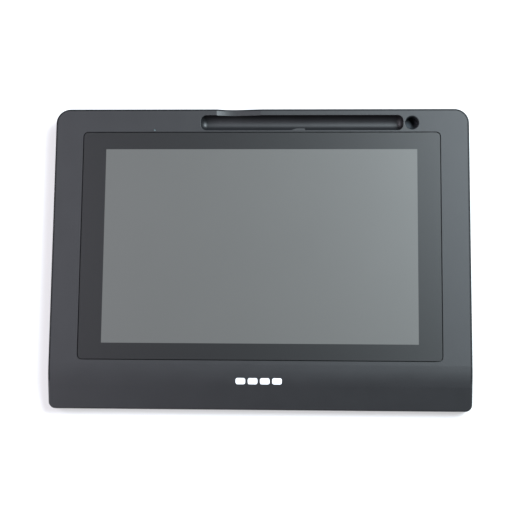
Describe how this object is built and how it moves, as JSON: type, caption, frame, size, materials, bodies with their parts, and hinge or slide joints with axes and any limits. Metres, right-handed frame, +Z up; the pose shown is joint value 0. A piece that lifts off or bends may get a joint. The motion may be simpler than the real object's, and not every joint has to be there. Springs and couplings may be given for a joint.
{
  "type": "pen display tablet",
  "caption": "Flat dark pen display with a wide screen, a pen groove and pen stand hole along the rear rim, a sloped palm edge and folding legs beneath.",
  "frame": {"origin": "on the table under the middle of the case, which lies flat on its rubber feet", "axes": "+X to the user's right, +Y away from the user towards the pen groove, +Z up out of the screen"},
  "size_m": [0.289, 0.2092, 0.015],
  "materials": {
    "case_plastic": "fine leather-like texture, matt",
    "cover_plastic": "fine spark texture, matt",
    "badge_white": "flat white",
    "lens_glass": "etched anti-glare face, black printed border",
    "black_tape": "foam tape",
    "gasket_foam": "closed cell foam",
    "sheet_steel": "bare sheet",
    "cell_glass": "dark polariser",
    "optical_film": "frosted film",
    "clear_acrylic": "polished clear",
    "reflector_white": "white film",
    "led_white": "phosphor yellow white",
    "tray_plastic": "white moulding",
    "flex_amber": "polyimide film",
    "flat_cable": "white flat cable",
    "board_green": "solder mask",
    "sensor_board": "solder mask with fine tracks",
    "chip_black": "moulded package",
    "connector_cream": "moulded",
    "can_aluminium": "bright can",
    "film_black": "insulating film",
    "socket_steel": "plated shell",
    "socket_black": "moulded",
    "pipe_clear": "clear rod",
    "button_plastic": "matt",
    "switch_black": "moulded",
    "plunger_white": "moulded",
    "label_silver": "blank printed label",
    "screw_black": "black plated steel",
    "screw_steel": "zinc plated",
    "foot_rubber": "soft rubber",
    "leg_plastic": "matt",
    "tip_rubber": "soft rubber",
    "pin_steel": "ground pin",
    "sleeve_rubber": "soft flocked lining"
  },
  "bodies": {
    "case": {"front_case": "case_plastic", "pen_sleeve": "sleeve_rubber", "rear_cover": "cover_plastic", "badge": "badge_white", "cover_lens": "lens_glass", "lens_adhesive": "black_tape", "lcd_gasket": "gasket_foam", "lcd_frame": "sheet_steel", "lcd_cell": "cell_glass", "film_stack": "optical_film", "light_guide": "clear_acrylic", "reflector": "reflector_white", "led_strip": "led_white", "lcd_tray": "tray_plastic", "panel_flex": "flex_amber", "driver_board": "board_green", "driver_chips": "chip_black", "digitizer": "sensor_board", "shield_plate": "sheet_steel", "insulation_film": "film_black", "lcd_bracket_left": "sheet_steel", "lcd_bracket_right": "sheet_steel", "main_board": "board_green", "board_chips": "chip_black", "board_capacitors": "can_aluminium", "ribbon_connectors": "connector_cream", "display_cable": "flat_cable", "digitizer_cable": "flex_amber", "usb_socket": "socket_steel", "video_socket": "socket_steel", "power_socket": "socket_black", "status_led": "led_white", "light_pipe": "pipe_clear", "switch_body": "switch_black", "button_board": "board_green", "button_cable": "flex_amber", "lock_plate": "sheet_steel", "rating_label": "label_silver", "board_screws": "screw_steel", "module_screws": "screw_steel", "case_screw_1": "screw_black", "case_screw_2": "screw_black", "case_screw_3": "screw_black", "case_screw_4": "screw_black", "case_screw_5": "screw_black", "case_screw_6": "screw_black", "case_screw_7": "screw_black", "case_screw_8": "screw_black", "foot_pad_front_left": "foot_rubber", "foot_pad_front_right": "foot_rubber", "foot_pad_rear_left": "foot_rubber", "foot_pad_rear_right": "foot_rubber", "leg_pin_left": "pin_steel", "leg_pin_right": "pin_steel"},
    "power_button_body": {"power_button": "button_plastic", "switch_plunger": "plunger_white"},
    "left_leg": {"leg_left": "leg_plastic", "leg_tip_left": "tip_rubber"},
    "right_leg": {"leg_right": "leg_plastic", "leg_tip_right": "tip_rubber"}
  },
  "joints": [
    {"name": "power_button_press", "type": "slide", "parent": "case", "child": "power_button_body", "axis": [0, -1, 0], "range_m": [0, 0.0005], "stiffness_N_per_m": 800},
    {"name": "left_leg_fold", "type": "hinge", "parent": "case", "child": "left_leg", "pos_m": [-0.118, 0.081, 0.0033], "axis": [1, 0, 0], "range_deg": [0, 100]},
    {"name": "right_leg_fold", "type": "hinge", "parent": "case", "child": "right_leg", "pos_m": [0.118, 0.081, 0.0033], "axis": [1, 0, 0], "range_deg": [0, 100]}
  ]
}
